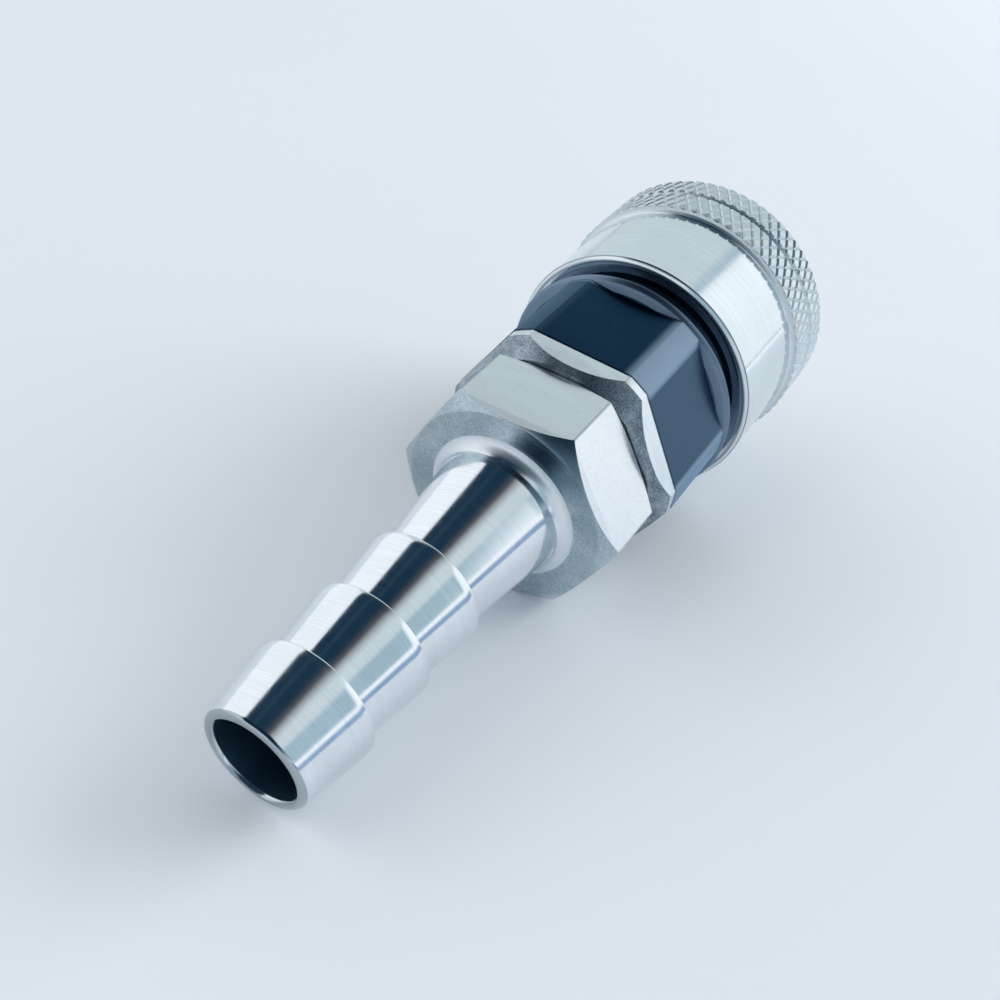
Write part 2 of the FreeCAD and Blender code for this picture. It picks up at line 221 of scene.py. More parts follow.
def makeBarb():
    values = barb
    rounding = values["rounding"]
    corner = values["acrossFlats"] / 2 / math.cos(math.radians(30))
    hexStart, hexEnd, spigotEnd = values["hexStart"], values["hexEnd"], values["spigotEnd"]
    outline = [
        (values["mouthBevel"], values["passage"], rounding["mouth"]),
        (0, values["passage"] + values["mouthBevel"]), (0, values["tipRadius"], rounding["tip"]),
    ]
    for ridge in range(values["ridges"]):
        rear = values["pitch"] * (ridge + 1)
        outline += [
            (rear - values["land"], values["ridgeRadius"], rounding["landStart"]),
            (rear, values["ridgeRadius"], rounding["landEnd"]),
            (rear, values["valleyRadius"], rounding["valley"]),
        ]
    outline.append((values["rootEnd"], values["rootRadius"], rounding["root"]))
    for step in range(values["filletSteps"] + 1):
        angle = math.radians(90 * step / values["filletSteps"])
        x = hexStart - values["fillet"] + values["fillet"] * math.sin(angle)
        outline.append((x, values["neckRadius"] + values["fillet"] * (1 - math.cos(angle))))
    outline += domedBevel((hexStart, values["faceRadius"]), (hexStart + values["frontBevel"], corner))
    outline += domedBevel((hexEnd - values["rearBevel"], corner), (hexEnd, values["faceRadius"]))
    outline += [
        (hexEnd, values["sealNeckRadius"]), (values["sealNeckEnd"], values["sealNeckRadius"]),
        (values["spigotStart"], values["spigotRadius"]),
        (spigotEnd - values["spigotBevel"], values["spigotRadius"]),
        (spigotEnd, values["spigotRadius"] - values["spigotBevel"]), (spigotEnd, values["spigotMouth"]),
        (spigotEnd - (values["spigotMouth"] - values["passage"]), values["passage"]),
    ]
    shape = turnOutline(outline, values["steps"])
    cutFlats(shape, values["acrossFlats"], values["turn"])
    softenEdges(
        shape, values["edgeBevel"], shaping["softDegrees"],
        lambda edge: onFlat(edge, values["acrossFlats"]),
    )
    shape.normal_update()
    # The hexagon's front faces get the second finish, whose darker colour is painted shade.
    turned = values["shadedTurnedFace"]
    for face in shape.faces:
        middle = face.calc_center_median()
        inBand = turned["along"][0] < middle.x < turned["along"][1]
        if inBand and face.normal.x < turned["lean"] and offAxis(middle) > turned["inside"]:
            face.material_index = 1
    return finishPiece("barbTurned", shape, "socket", "hose_barb")


# Body: bare hexagon end, coated hexagon, collar, neck and nose

body = {
    "start": 39.2, "coatStart": 41.97, "stepStart": 51.45, "stepMiddle": 51.85, "hexEnd": 52.2,
    "bareFlats": 20.9, "coatFlats": 21.1, "faceRadius": 10.05, "bevelEnd": 41.0099,
    "landRadius": 11.5, "coatRadius": 11.6, "hexInside": 8.8, "overlap": 0.5, "sink": 0.02,
    "bareEdge": 0.06, "longEdge": 0.7, "longSegments": 4,
    "coreStart": 8.35, "coreRadius": 9.3, "stepRadius": 10.2, "collarRadius": 11.85,
    "collarFront": 52.4, "neckStart": 53.2, "neckRadius": 10.4, "flangeStart": 56.2,
    "flangeEnd": 58.0, "flangeRadius": 11.42, "flangeBevel": 0.3, "noseRadius": 8.6,
    "noseEnd": 72.1945, "noseBevel": 0.4, "leadIn": 1.0, "pilotRadius": 6.5, "pilotLength": 3.0,
    "steps": 180,
    "rounding": {
        "coat": 0.05, "step": 0.2, "collarRear": 0.12, "collarFront": 0.08, "neck": 0.1,
        "noseRoot": 0.15, "nose": 0.1, "leadIn": 0.06, "pilot": 0.05, "pilotEnd": 0.04,
    },
    # From the pilot back: plug bore, packing and seat ring, valve chamber, spigot, O-ring
    "bore": [
        (68.1945, 6.25), (63.5945, 6.25), (63.5945, 7.4), (58.7945, 7.4), (58.7945, 7.5),
        (47.0, 7.5), (47.0, 8.0), (40.8, 8.0), (40.8, 8.35),
    ],
    # Distance from the axis and radius. It narrows at the bore, so that a ball can't drop through.
    "ballHole": [(5.55, 1.65), (6.25, 1.65), (6.9, 1.8), (9.1, 1.8)],
    "ballX": 66.3945, "balls": 6, "holeSteps": 48,
    "grittyLean": -0.2, "coatBand": (41.96, 56.1), "coatInside": 9.35,
}


def makeBareHexagon():
    values = body
    end = values["coatStart"] + values["overlap"]
    outline = [(values["start"], values["hexInside"])]
    outline += domedBevel(
        (values["start"], values["faceRadius"]), (values["bevelEnd"], values["landRadius"])
    )
    outline += [(end, values["landRadius"]), (end, values["hexInside"])]
    shape = turnOutline(outline, values["steps"])
    cutFlats(shape, values["bareFlats"])
    softenEdges(
        shape, values["bareEdge"], shaping["softDegrees"],
        lambda edge: onFlat(edge, values["bareFlats"]),
    )
    shape.normal_update()
    for face in shape.faces:
        if face.normal.x < values["grittyLean"]:
            face.material_index = 2
    return shape


def makeCoatedHexagon():
    values = body
    start, end = values["coatStart"], values["hexEnd"] + values["sink"]
    shape = turnOutline([
        (start, values["hexInside"]), (start, values["coatRadius"], values["rounding"]["coat"]),
        (end, values["coatRadius"]), (end, values["hexInside"]),
    ], values["steps"])
    cutFlats(shape, values["coatFlats"])
    softenEdges(
        shape, values["longEdge"], shaping["softDegrees"],
        lambda edge: onFlat(edge, values["coatFlats"]) and alongAxis(edge), values["longSegments"],
    )
    return shape


def makeBodyCore():
    values = body
    rounding = values["rounding"]
    mouth = layout["boreMouth"]
    start = values["start"] + values["sink"]
    flangeStart, flangeEnd, noseEnd = values["flangeStart"], values["flangeEnd"], values["noseEnd"]
    flangeEdge = values["flangeRadius"] - values["flangeBevel"]
    outline = [
        (start, values["coreStart"]), (start, values["coreRadius"]),
        (values["stepStart"], values["coreRadius"]), (values["stepStart"], values["stepRadius"]),
        (values["stepMiddle"], values["coatRadius"], rounding["step"]),
        (values["hexEnd"], values["collarRadius"], rounding["collarRear"]),
        (values["collarFront"], values["collarRadius"], rounding["collarFront"]),
        (values["neckStart"], values["neckRadius"], rounding["neck"]),
        (flangeStart, values["neckRadius"], rounding["neck"]), (flangeStart, flangeEdge),
        (flangeStart + values["flangeBevel"], values["flangeRadius"]),
        (flangeEnd - values["flangeBevel"], values["flangeRadius"]), (flangeEnd, flangeEdge),
        (flangeEnd, values["noseRadius"], rounding["noseRoot"]),
        (noseEnd - values["noseBevel"], values["noseRadius"], rounding["nose"]),
        (noseEnd, values["noseRadius"] - values["noseBevel"], rounding["nose"]),
        (noseEnd, values["pilotRadius"] + values["leadIn"], rounding["leadIn"]),
        (mouth, values["pilotRadius"], rounding["pilot"]),
        (mouth - values["pilotLength"], values["pilotRadius"], rounding["pilotEnd"]),
        *values["bore"],
    ]
    return turnOutline(outline, values["steps"])


def ballHoleCutter(index):
    hole = body["ballHole"]
    cutter = bmesh.new()
    outline = [(hole[0][0], 0), *hole, (hole[-1][0], 0)]
    verts = [cutter.verts.new((radius, 0, height)) for height, radius in outline]
    for i in range(len(verts) - 1):
        cutter.edges.new((verts[i], verts[i + 1]))
    spinRound(cutter, body["holeSteps"], axis=(0, 0, 1))
    cleanShape(cutter)
    bmesh.ops.translate(cutter, vec=(body["ballX"], 0, 0), verts=cutter.verts)
    turn = Matrix.Rotation(2 * math.pi * index / body["balls"], 3, "X")
    bmesh.ops.rotate(cutter, cent=centre, matrix=turn, verts=cutter.verts)
    return cutter


def cutBallHoles(core):
    tools = joinShapes([ballHoleCutter(index) for index in range(body["balls"])])
    helpers = []
    for name, shape in (("core", core), ("holes", tools)):
        mesh = bpy.data.meshes.new(name)
        shape.to_mesh(mesh)
        shape.free()
        helper = bpy.data.objects.new(name, mesh)
        bpy.context.scene.collection.objects.link(helper)
        helpers.append(helper)
    drill = helpers[0].modifiers.new("ballHoles", "BOOLEAN")
    drill.operation = "DIFFERENCE"
    drill.solver = "EXACT"
    drill.object = helpers[1]
    depsgraph = bpy.context.evaluated_depsgraph_get()
    drilled = bpy.data.meshes.new_from_object(helpers[0].evaluated_get(depsgraph))
    shape = bmesh.new()
    shape.from_mesh(drilled)
    meshes = [drilled] + [helper.data for helper in helpers]
    for helper in helpers:
        bpy.data.objects.remove(helper)
    for mesh in meshes:
        bpy.data.meshes.remove(mesh)
    return shape


def makeBody():
    core = cutBallHoles(makeBodyCore())
    shape = joinShapes([core, makeBareHexagon(), makeCoatedHexagon()])
    first, last = body["coatBand"]
    for face in shape.faces:
        middle = face.calc_center_median()
        inBand = first < middle.x < last and offAxis(middle) > body["coatInside"]
        if inBand and face.material_index == 0:
            face.material_index = 1
    return finishPiece("bodyTurned", shape, "socket", "socket_body")


# Sleeve: plain band, then two knurled bands with a groove between

sleeve = {
    "rear": 54.7, "radius": 12.6, "rearDrop": 0.4, "rearLength": 0.2, "knurlStart": 65.1945,
    "knurlRadius": 13.25, "front": 71.8945, "frontDrop": 0.42, "chamfer": 0.3, "lipRadius": 8.9,
    "shoulder": 0.33, "teeth": 68, "rings": 6, "toothDepth": 0.17, "toothFlat": 0.64,
    "toothEnd": 0.09, "toothFoot": 0.2, "sharpDegrees": 11, "ringMargin": 0.01,
    "groove": 68.7445, "grooveHalf": 0.4, "grooveDepth": 0.55, "grooveMargin": 0.001, "outerMargin": 0.1,
    "rounding": {"rear": 0.05, "rearBand": 0.06, "shoulder": 0.08, "front": 0.06, "lip": 0.05},
    # From the front lip back: the balls' relief and land, the spring's bore, the snap ring's groove
    "inside": [
        (70.3945, 8.9), (70.3945, 10.1), (67.4945, 10.1), (66.4945, 9.1), (63.7945, 9.1),
        (63.7945, 11.5), (56.15, 11.5), (56.15, 11.95), (55.25, 11.95), (55.25, 11.65, 0.05),
        (54.7, 11.65, 0.06),
    ],
}


def makeSleeve():
    values = sleeve
    rounding = values["rounding"]
    rear, front, radius = values["rear"], values["front"], values["radius"]
    bandEnd = front - values["chamfer"]
    valley = values["knurlRadius"] - values["toothDepth"]
    # The points stand above the full radius until their tips come off.
    point = valley + values["toothDepth"] / (1 - values["toothFlat"])
    step = (bandEnd - values["knurlStart"]) / values["rings"]
    band = [values["knurlStart"] + step * ring for ring in range(values["rings"] + 1)]
    outline = [
        (rear, radius - values["rearDrop"], rounding["rear"]),
        (rear + values["rearLength"], radius, rounding["rearBand"]),
        (values["knurlStart"] - values["shoulder"], radius, rounding["shoulder"]),
        (values["knurlStart"] - values["toothEnd"], valley - values["toothFoot"]),
        *((x, point) for x in band),
        (bandEnd + values["toothEnd"], valley),
        (front, values["knurlRadius"] - values["frontDrop"], rounding["front"]),
        (front, values["lipRadius"] + values["chamfer"], rounding["lip"]),
        (bandEnd, values["lipRadius"]),
        *values["inside"],
    ]
    shape = turnOutline(outline, 2 * values["teeth"])
    cutTeeth(shape, band, valley / point)
    cutGroove(shape, valley)
    return finishPiece(
        "sleeveKnurled", shape, "sleeve", "sleeve", values["sharpDegrees"]
    )


def cutTeeth(shape, band, lowered):
    # Diamond teeth: every other point of the band goes down, each square between is split from
    # low point to low point, and the high points lose their tips.
    values = sleeve
    stepAngle = math.pi / values["teeth"]
    pitch = band[1] - band[0]
    peaks = {}
    for vert in shape.verts:
        ring = round((vert.co.x - band[0]) / pitch)
        onRing = 0 <= ring < len(band) and abs(vert.co.x - band[ring]) < values["ringMargin"]
        if not onRing or offAxis(vert.co) < values["knurlRadius"]:
            continue
        column = round(math.atan2(vert.co.y, vert.co.z) / stepAngle)
        if (ring + column) % 2:
            vert.co.y *= lowered
            vert.co.z *= lowered
        else:
            peaks[vert] = True
    for face in shape.faces[:]:
        lowest = [vert for vert in face.verts if vert not in peaks]
        inBand = band[0] < face.calc_center_median().x < band[-1]
        if len(face.verts) == 4 and len(lowest) == 2 and inBand:
            bmesh.ops.connect_verts(shape, verts=lowest)
    bmesh.ops.bevel(
        shape, geom=list(peaks), affect="VERTICES", offset=values["toothFlat"] * 100,
        offset_type="PERCENT", segments=1, profile=0.5, material=-1,
    )


def cutGroove(shape, valley):
    # A V all round between two bands of teeth.
    values = sleeve
    half = values["grooveHalf"]
    inner = half - values["toothEnd"]
    floor = values["knurlRadius"] - values["grooveDepth"]
    for offset in (-half, -inner, 0, inner, half):
        outer = [
            face for face in shape.faces
            if offAxis(face.calc_center_median()) > values["radius"] + values["outerMargin"]
        ]
        edges = dict.fromkeys(edge for face in outer for edge in face.edges)
        verts = dict.fromkeys(vert for face in outer for vert in face.verts)
        bmesh.ops.bisect_plane(
            shape, geom=[*outer, *edges, *verts], dist=shaping["cutDistance"],
            plane_co=(values["groove"] + offset, 0, 0), plane_no=axisX,
        )
    for vert in shape.verts:
        away = abs(vert.co.x - values["groove"])
        radius = offAxis(vert.co)
        if away < inner + values["grooveMargin"] and radius > values["radius"]:
            lowered = min(1, (floor + (valley - floor) * away / inner) / radius)
            vert.co.y *= lowered
            vert.co.z *= lowered


# Coil springs, which in the coupler shorten with the piece that they push; here each is drawn at one
# length

springs = {
    "sleeve_spring": {
        "piece": "sleeveSpringCoil", "first": 58.0, "last": 63.7945, "meanRadius": 10.05,
        "wire": 0.9, "turns": 3.5, "joint": "sleeve_slide", "keep": 0.655,
    },
    "valve_spring": {
        "piece": "valveSpringCoil", "first": 48.2, "last": 56.2, "meanRadius": 5.2,
        "wire": 0.8, "turns": 4.0, "joint": "valve_slide", "keep": 0.5,
    },
}
wireShape = {
    "sides": 12, "stepsPerTurn": 36, "endGap": 0.05, "mergeDistance": 0.00001, "sharpDegrees": 40,
}


def makeSpring(node, values):
    ending = values["wire"] / 2 + wireShape["endGap"]
    rise = values["last"] - values["first"] - 2 * ending
    shape = bmesh.new()
    bmesh.ops.create_circle(
        shape, cap_ends=False, segments=wireShape["sides"], radius=values["wire"] / 2
    )
    upright = Matrix.Rotation(math.pi / 2, 3, "X")
    bmesh.ops.rotate(shape, cent=centre, matrix=upright, verts=shape.verts)
    start = (values["first"] + ending, 0, values["meanRadius"])
    bmesh.ops.translate(shape, vec=start, verts=shape.verts)
    steps = round(values["turns"] * wireShape["stepsPerTurn"])
    spinRound(shape, steps, turns=values["turns"], rise=rise)
    bmesh.ops.remove_doubles(shape, verts=shape.verts, dist=wireShape["mergeDistance"])
    ends = [edge for edge in shape.edges if edge.is_boundary]
    bmesh.ops.holes_fill(shape, edges=ends, sides=0)
    return finishPiece(
        values["piece"], shape, "socket", node, wireShape["sharpDegrees"]
    )


print("shaping the barb, body, sleeve and springs")
barbPiece = makeBarb()
bodyPiece = makeBody()
sleevePiece = makeSleeve()
coils = {node: makeSpring(node, values) for node, values in springs.items()}
for piece in (barbPiece, bodyPiece, sleevePiece, *coils.values()):
    print(piece.name, len(piece.data.polygons), "faces")


# Node helpers

def fill(tree, socket, value):
    # A number or a colour is set on the socket, and anything else is linked to it.
    if isinstance(value, (int, float)):
        socket.default_value = value
    elif isinstance(value, tuple):
        socket.default_value = (*value, 1.0) if socket.type == "RGBA" else value
    else:
        tree.links.new(value, socket)


def newNode(tree, kind, inputs=None, **settings):
    node = tree.nodes.new(kind)
    for key, value in settings.items():
        setattr(node, key, value)
    for name, value in (inputs or {}).items():
        fill(tree, node.inputs[name], value)
    return node


def mathNode(tree, operation, first, second=None):
    inputs = {0: first} if second is None else {0: first, 1: second}
    return newNode(tree, "ShaderNodeMath", inputs, operation=operation).outputs[0]


def product(tree, first, *others):
    for other in others:
        first = mathNode(tree, "MULTIPLY", first, other)
    return first


def mapRange(tree, value, fromLow, fromHigh, toLow=0.0, toHigh=1.0, smooth=False):
    node = newNode(tree, "ShaderNodeMapRange", {
        "Value": value, "From Min": fromLow, "From Max": fromHigh, "To Min": toLow, "To Max": toHigh,
    }, interpolation_type="SMOOTHSTEP" if smooth else "LINEAR")
    return node.outputs["Result"]


def between(tree, value, first, last, edge):
    rise = mapRange(tree, value, first, first + edge)
    return product(tree, rise, mapRange(tree, value, last - edge, last, 1.0, 0.0))


def mixColour(tree, factor, first, second):
    return newNode(tree, "ShaderNodeMix", {0: factor, 6: first, 7: second}, data_type="RGBA").outputs[2]


def seededNoise(tree, vector, seed, settings):
    inputs = {"Vector": vector, "W": seed, **settings}
    return newNode(tree, "ShaderNodeTexNoise", inputs, noise_dimensions="4D").outputs["Fac"]


# Shared effects

toolPaths = {
    "radiusShare": 1.37, "bandsPerMm": 0.9,
    "marks": {"Scale": 1.0, "Detail": 2.0}, "bands": {"Scale": 1.0, "Detail": 3.0},
}
wearShape = {
    "smudge": {"Detail": 4.0, "Roughness": 0.6}, "grain": {"Detail": 3.0},
    "scratch": {"Scale": 1.4, "Detail": 6.0, "Distortion": 2.5},
    "scratchStretch": (0.5, 1.6, 1.1), "scratchWidth": 0.012,
}


def newGroup(name, inputs, outputs):
    group = bpy.data.node_groups.new(name, "ShaderNodeTree")
    for socketName, value in inputs.items():
        socket = group.interface.new_socket(
            name=socketName, in_out="INPUT", socket_type="NodeSocketFloat"
        )
        socket.default_value = value
    for socketName, kind in outputs.items():
        group.interface.new_socket(name=socketName, in_out="OUTPUT", socket_type="NodeSocket" + kind)
    return group


def useGroup(tree, group, inputs=None):
    return newNode(tree, "ShaderNodeGroup", inputs, node_tree=group).outputs


def makePlaceGroup():
    # Where a point is on the coupler: millimetres along its axis, radius, and angle about it.
    group = newGroup("couplerPlace", {}, {
        "Along": "Float", "Radius": "Float", "Angle": "Float", "Point": "Vector",
    })
    point = newNode(group, "ShaderNodeMapping", {
        "Vector": newNode(group, "ShaderNodeTexCoord").outputs["Object"],
        "Location": (layout["boreMouth"], 0, 0), "Rotation": (0, restingTilt, 0),
        "Scale": (1 / layout["millimetre"],) * 3,
    }, vector_type="POINT").outputs[0]
    x, y, z = newNode(group, "ShaderNodeSeparateXYZ", {0: point}).outputs
    square = mathNode(group, "ADD", product(group, y, y), product(group, z, z))
    newNode(group, "NodeGroupOutput", {
        "Along": x, "Radius": mathNode(group, "SQRT", square),
        "Angle": mathNode(group, "ARCTAN2", y, z), "Point": point,
    })
    return group


def makeTurningGroup():
    # Fine tool marks that run round the axis, on cylinders and on end faces alike.
    group = newGroup(
        "turningMarks", {"Lines per mm": 6.0, "Smear": 0.35, "Seed": 0.0},
        {"Marks": "Float", "Bands": "Float"},
    )
    source = newNode(group, "NodeGroupInput").outputs
    place = useGroup(group, placeGroup)
    around = product(group, mathNode(group, "SINE", place["Angle"]), source["Smear"])
    across = product(group, mathNode(group, "COSINE", place["Angle"]), source["Smear"])
    share = product(group, place["Radius"], toolPaths["radiusShare"])
    reach = mathNode(group, "ADD", place["Along"], share)
    found = {}
    for name, density, settings in (
        ("Marks", source["Lines per mm"], toolPaths["marks"]),
        ("Bands", toolPaths["bandsPerMm"], toolPaths["bands"]),
    ):
        line = newNode(group, "ShaderNodeCombineXYZ", {
            0: product(group, reach, density), 1: around, 2: across,
        })
        found[name] = seededNoise(group, line.outputs[0], source["Seed"], settings)
    newNode(group, "NodeGroupOutput", found)
    return group


def makeWearGroup():
    # Handling: soft smudges, fine scratches and pits.
    group = newGroup(
        "handlingWear", {"Smudge size mm": 5.0, "Grain per mm": 9.0, "Seed": 0.0},
        {"Smudge": "Float", "Grain": "Float", "Scratches": "Float"},
    )
    source = newNode(group, "NodeGroupInput").outputs
    point = useGroup(group, placeGroup)["Point"]
    smudgeScale = mathNode(group, "DIVIDE", 1.0, source["Smudge size mm"])
    smudge = seededNoise(group, point, source["Seed"], {**wearShape["smudge"], "Scale": smudgeScale})
    grainScale = source["Grain per mm"]
    grain = seededNoise(group, point, source["Seed"], {**wearShape["grain"], "Scale": grainScale})
    stretch = newNode(
        group, "ShaderNodeVectorMath", {0: point, 1: wearShape["scratchStretch"]}, operation="MULTIPLY"
    )
    scratch = seededNoise(group, stretch.outputs[0], source["Seed"], wearShape["scratch"])
    ridge = mathNode(group, "ABSOLUTE", mathNode(group, "SUBTRACT", scratch, 0.5))
    newNode(group, "NodeGroupOutput", {
        "Smudge": smudge, "Grain": grain,
        "Scratches": mapRange(group, ridge, 0.0, wearShape["scratchWidth"], 1.0, 0.0),
    })
    return group


placeGroup = makePlaceGroup()
turningGroup = makeTurningGroup()
wearGroup = makeWearGroup()


def toolMarks(tree, values):
    return useGroup(tree, turningGroup, {
        "Lines per mm": values["lines"], "Smear": values["smear"], "Seed": values["seed"],
    })


def handling(tree, values):
    return useGroup(tree, wearGroup, {
        "Smudge size mm": values["smudge"], "Grain per mm": values["grain"], "Seed": values["seed"],
    })


# Finishes

def newFinish(name):
    material = bpy.data.materials.new(name)
    material.use_nodes = True
    tree = material.node_tree
    return material, tree, tree.nodes["Principled BSDF"]


def addBump(tree, shader, height, distance, before=None):
    bump = newNode(tree, "ShaderNodeBump", {"Strength": 1.0, "Distance": distance, "Height": height})
    if before is not None:
        tree.links.new(before, bump.inputs["Normal"])
    tree.links.new(bump.outputs[0], shader.inputs["Normal"])
    return bump.outputs[0]


def setMetal(tree, shader, values, base, rough, marks, grain):
    tree.links.new(base, shader.inputs["Base Color"])
    tree.links.new(rough, shader.inputs["Roughness"])
    shader.inputs["Metallic"].default_value = 1.0
    first = addBump(tree, shader, marks, values["markDepth"])
    addBump(tree, shader, grain, values["grainDepth"], first)


# Ranges of along and radius that no piece reaches switch a feature off.
plainPlating = {
    "flats": (200.0, 201.0, 50.0), "flatRough": 0.0, "flatGrain": 1.0, "scratch": (0.3, 0.3, 0.3),
    "drilled": 0.0, "bore": (0.4, 0.4, 0.4), "corner": (20.0, 21.0), "shadeTone": (0.2, 0.2, 0.2),
    "ends": [], "rim": (20.0, 21.0), "rimRough": 0.0,
}
plating = {
    "edge": 0.05, "shadeRingEdge": 0.02, "boreShadeFrom": (0.2, 0.35), "tone": (0.15, 0.38),
    "bands": (0.3, 0.7), "smudges": (0.35, 0.75), "scratchTone": 0.35, "cornerTone": 0.6,
    "boreRough": 0.25,
}
platings = {
    "platedBarb": {
        "lines": 7.0, "smear": 0.5, "seed": 1.0, "smudge": 5.0, "grain": 12.0,
        "dark": (0.77, 0.81, 0.84), "light": (0.85, 0.89, 0.92), "rough": 0.08, "bandRough": 0.04,
        "smudgeRough": 0.05, "markDepth": 0.00000018, "grainDepth": 0.0000003,
        "flats": (32.3, 38.8, 9.4), "flatRough": 0.12, "flatGrain": 4.0,
        # The passage is painted darker and bluer inside: painted shade in the bore.
        "scratch": (0.35, 0.38, 0.42), "drilled": 3.8, "bore": (0.16, 0.30, 0.42),
        # The end tone and the ring listed in ends are painted shade at the passage's mouth.
        "corner": (10.88, 10.93), "shadeTone": (0.14, 0.21, 0.25),
        "ends": [(-0.1, 0.3, 3.7, 3.9, 0.58)], "rim": (6.0, 6.25), "rimRough": 0.26,
    },
    "platedSleeve": {
        "lines": 10.0, "smear": 0.8, "seed": 4.0, "smudge": 7.0, "grain": 12.0,
        "dark": (0.70, 0.76, 0.79), "light": (0.82, 0.87, 0.90), "rough": 0.085, "bandRough": 0.04,
        "smudgeRough": 0.07, "markDepth": 0.00000025, "grainDepth": 0.0000006,
        # The end tone and the two thin rings listed in ends are painted shade lines at the sleeve's rear
        # end.
        "shadeTone": (0.10, 0.14, 0.18), "rim": (12.62, 12.7), "rimRough": 0.3,
        "ends": [(54.83, 54.98, 12.5, 12.52, 0.7), (54.6, 54.75, 12.0, 12.05, 0.6)],
    },
    "insideMetal": {
        "lines": 5.0, "smear": 0.6, "seed": 7.0, "smudge": 3.0, "grain": 10.0,
        "dark": (0.40, 0.44, 0.50), "light": (0.60, 0.65, 0.70), "rough": 0.25, "bandRough": 0.1,
        "smudgeRough": 0.1, "markDepth": 0.000002, "grainDepth": 0.000001,
    },
    "wireMetal": {
        "lines": 3.0, "smear": 2.0, "seed": 11.0, "smudge": 2.0, "grain": 14.0,
        "dark": (0.36, 0.42, 0.52), "light": (0.52, 0.58, 0.68), "rough": 0.28, "bandRough": 0.06,
        "smudgeRough": 0.1, "markDepth": 0.0000006, "grainDepth": 0.000001,
    },
    "ballMetal": {
        "lines": 2.0, "smear": 1.0, "seed": 13.0, "smudge": 1.2, "grain": 16.0,
        "dark": (0.74, 0.76, 0.78), "light": (0.84, 0.86, 0.88), "rough": 0.05, "bandRough": 0.01,
        "smudgeRough": 0.05, "markDepth": 0.00000002, "grainDepth": 0.0000001,
    },
}


def platedFinish(name):
    # Bright plating over turned steel. The hexagon's flats are drawn bar, with a plain satin grain.
    values = {**plainPlating, **plating, **platings[name]}
    material, tree, shader = newFinish(name)
    place = useGroup(tree, placeGroup)
    turning = toolMarks(tree, values)
    wear = handling(tree, values)
    along, radius = place["Along"], place["Radius"]
    edge = values["edge"]
    first, last, inside = values["flats"]
    flat = product(
        tree, between(tree, along, first, last, edge), mapRange(tree, radius, inside, inside + edge)
    )
    turned = mathNode(tree, "SUBTRACT", 1.0, flat)
    drilled = product(
        tree, mapRange(tree, radius, values["drilled"], values["drilled"] + edge, 1.0, 0.0),
        mapRange(tree, along, *values["boreShadeFrom"]),
    )
    tone = mathNode(
        tree, "ADD", product(tree, product(tree, turning["Marks"], wear["Smudge"]), turned),
        product(tree, product(tree, wear["Grain"], wear["Smudge"]), flat),
    )
    base = mixColour(tree, mapRange(tree, tone, *values["tone"]), values["dark"], values["light"])
    scratched = product(tree, wear["Scratches"], product(tree, flat, values["scratchTone"]))
    base = mixColour(tree, scratched, base, values["scratch"])
    # Inside the passage the colour goes towards the bore colour: painted shade.
    base = mixColour(tree, drilled, base, values["bore"])
    corner = product(
        tree, mapRange(tree, radius, *values["corner"]), product(tree, flat, values["cornerTone"])
    )
    base = mixColour(tree, corner, base, values["scratch"])
    # Each ring listed in ends is painted shade: between two places along the axis and two radii the
    # colour goes towards the end tone.
    for first, last, inner, outer, strength in values["ends"]:
        end = product(
            tree, between(tree, along, first, last, values["shadeRingEdge"]),
            mapRange(tree, radius, inner, outer), strength,
        )
        base = mixColour(tree, end, base, values["shadeTone"])
    rough = mathNode(
        tree, "ADD", mapRange(tree, turning["Bands"], *values["bands"], 0.0, values["bandRough"]),
        mapRange(
            tree, wear["Smudge"], *values["smudges"], values["rough"],
            values["rough"] + values["smudgeRough"],
        ),
    )
    rough = mathNode(tree, "ADD", rough, product(tree, flat, values["flatRough"]))
    rough = mathNode(tree, "ADD", rough, product(tree, drilled, values["boreRough"]))
    rim = mapRange(tree, radius, *values["rim"], 0.0, values["rimRough"])
    rough = mathNode(tree, "ADD", rough, product(tree, rim, turned))
    marks = product(tree, turning["Marks"], turned)
    grain = product(tree, wear["Grain"], mapRange(tree, flat, 0.0, 1.0, 1.0, values["flatGrain"]))
    setMetal(tree, shader, values, base, rough, marks, grain)
    return material


bareTone = {"tone": (0.15, 0.38), "bands": (0.3, 0.7)}
bareMetals = {
    "bareSteel": {
        "lines": 8.0, "smear": 0.5, "smudge": 4.0, "grain": 11.0, "seed": 2.0,
        "dark": (0.68, 0.74, 0.79), "light": (0.84, 0.88, 0.91), "rough": (0.2, 0.3),
        "markDepth": 0.0000006, "grainDepth": 0.000003,
    },
    # The hexagon's turned front face: a rougher turned finish, with its base colour painted darker than
    # the plating as painted shade.
    "shadedTurnedFace": {
        "lines": 6.0, "smear": 0.9, "smudge": 5.0, "grain": 6.0, "seed": 6.0,
        "dark": (0.34, 0.43, 0.48), "light": (0.62, 0.70, 0.75), "rough": (0.2, 0.32),
        # The fan values paint a dark sector on the turned face: a painted reflection.
        "markDepth": 0.0000004, "grainDepth": 0.0000006, "paintedReflectionStart": (0.1, -0.35),
        "paintedReflectionEnd": (-1.05, -0.7), "paintedReflectionTone": 0.8, "paintedReflectionColour": (0.09, 0.16, 0.22),
    },
    "tumbledSteel": {
        "lines": 3.0, "smear": 0.5, "smudge": 3.0, "grain": 9.0, "seed": 3.0,
        "dark": (0.10, 0.14, 0.18), "light": (0.58, 0.65, 0.71), "rough": (0.34, 0.44),
        "markDepth": 0.0000004, "grainDepth": 0.000022,
    },
}


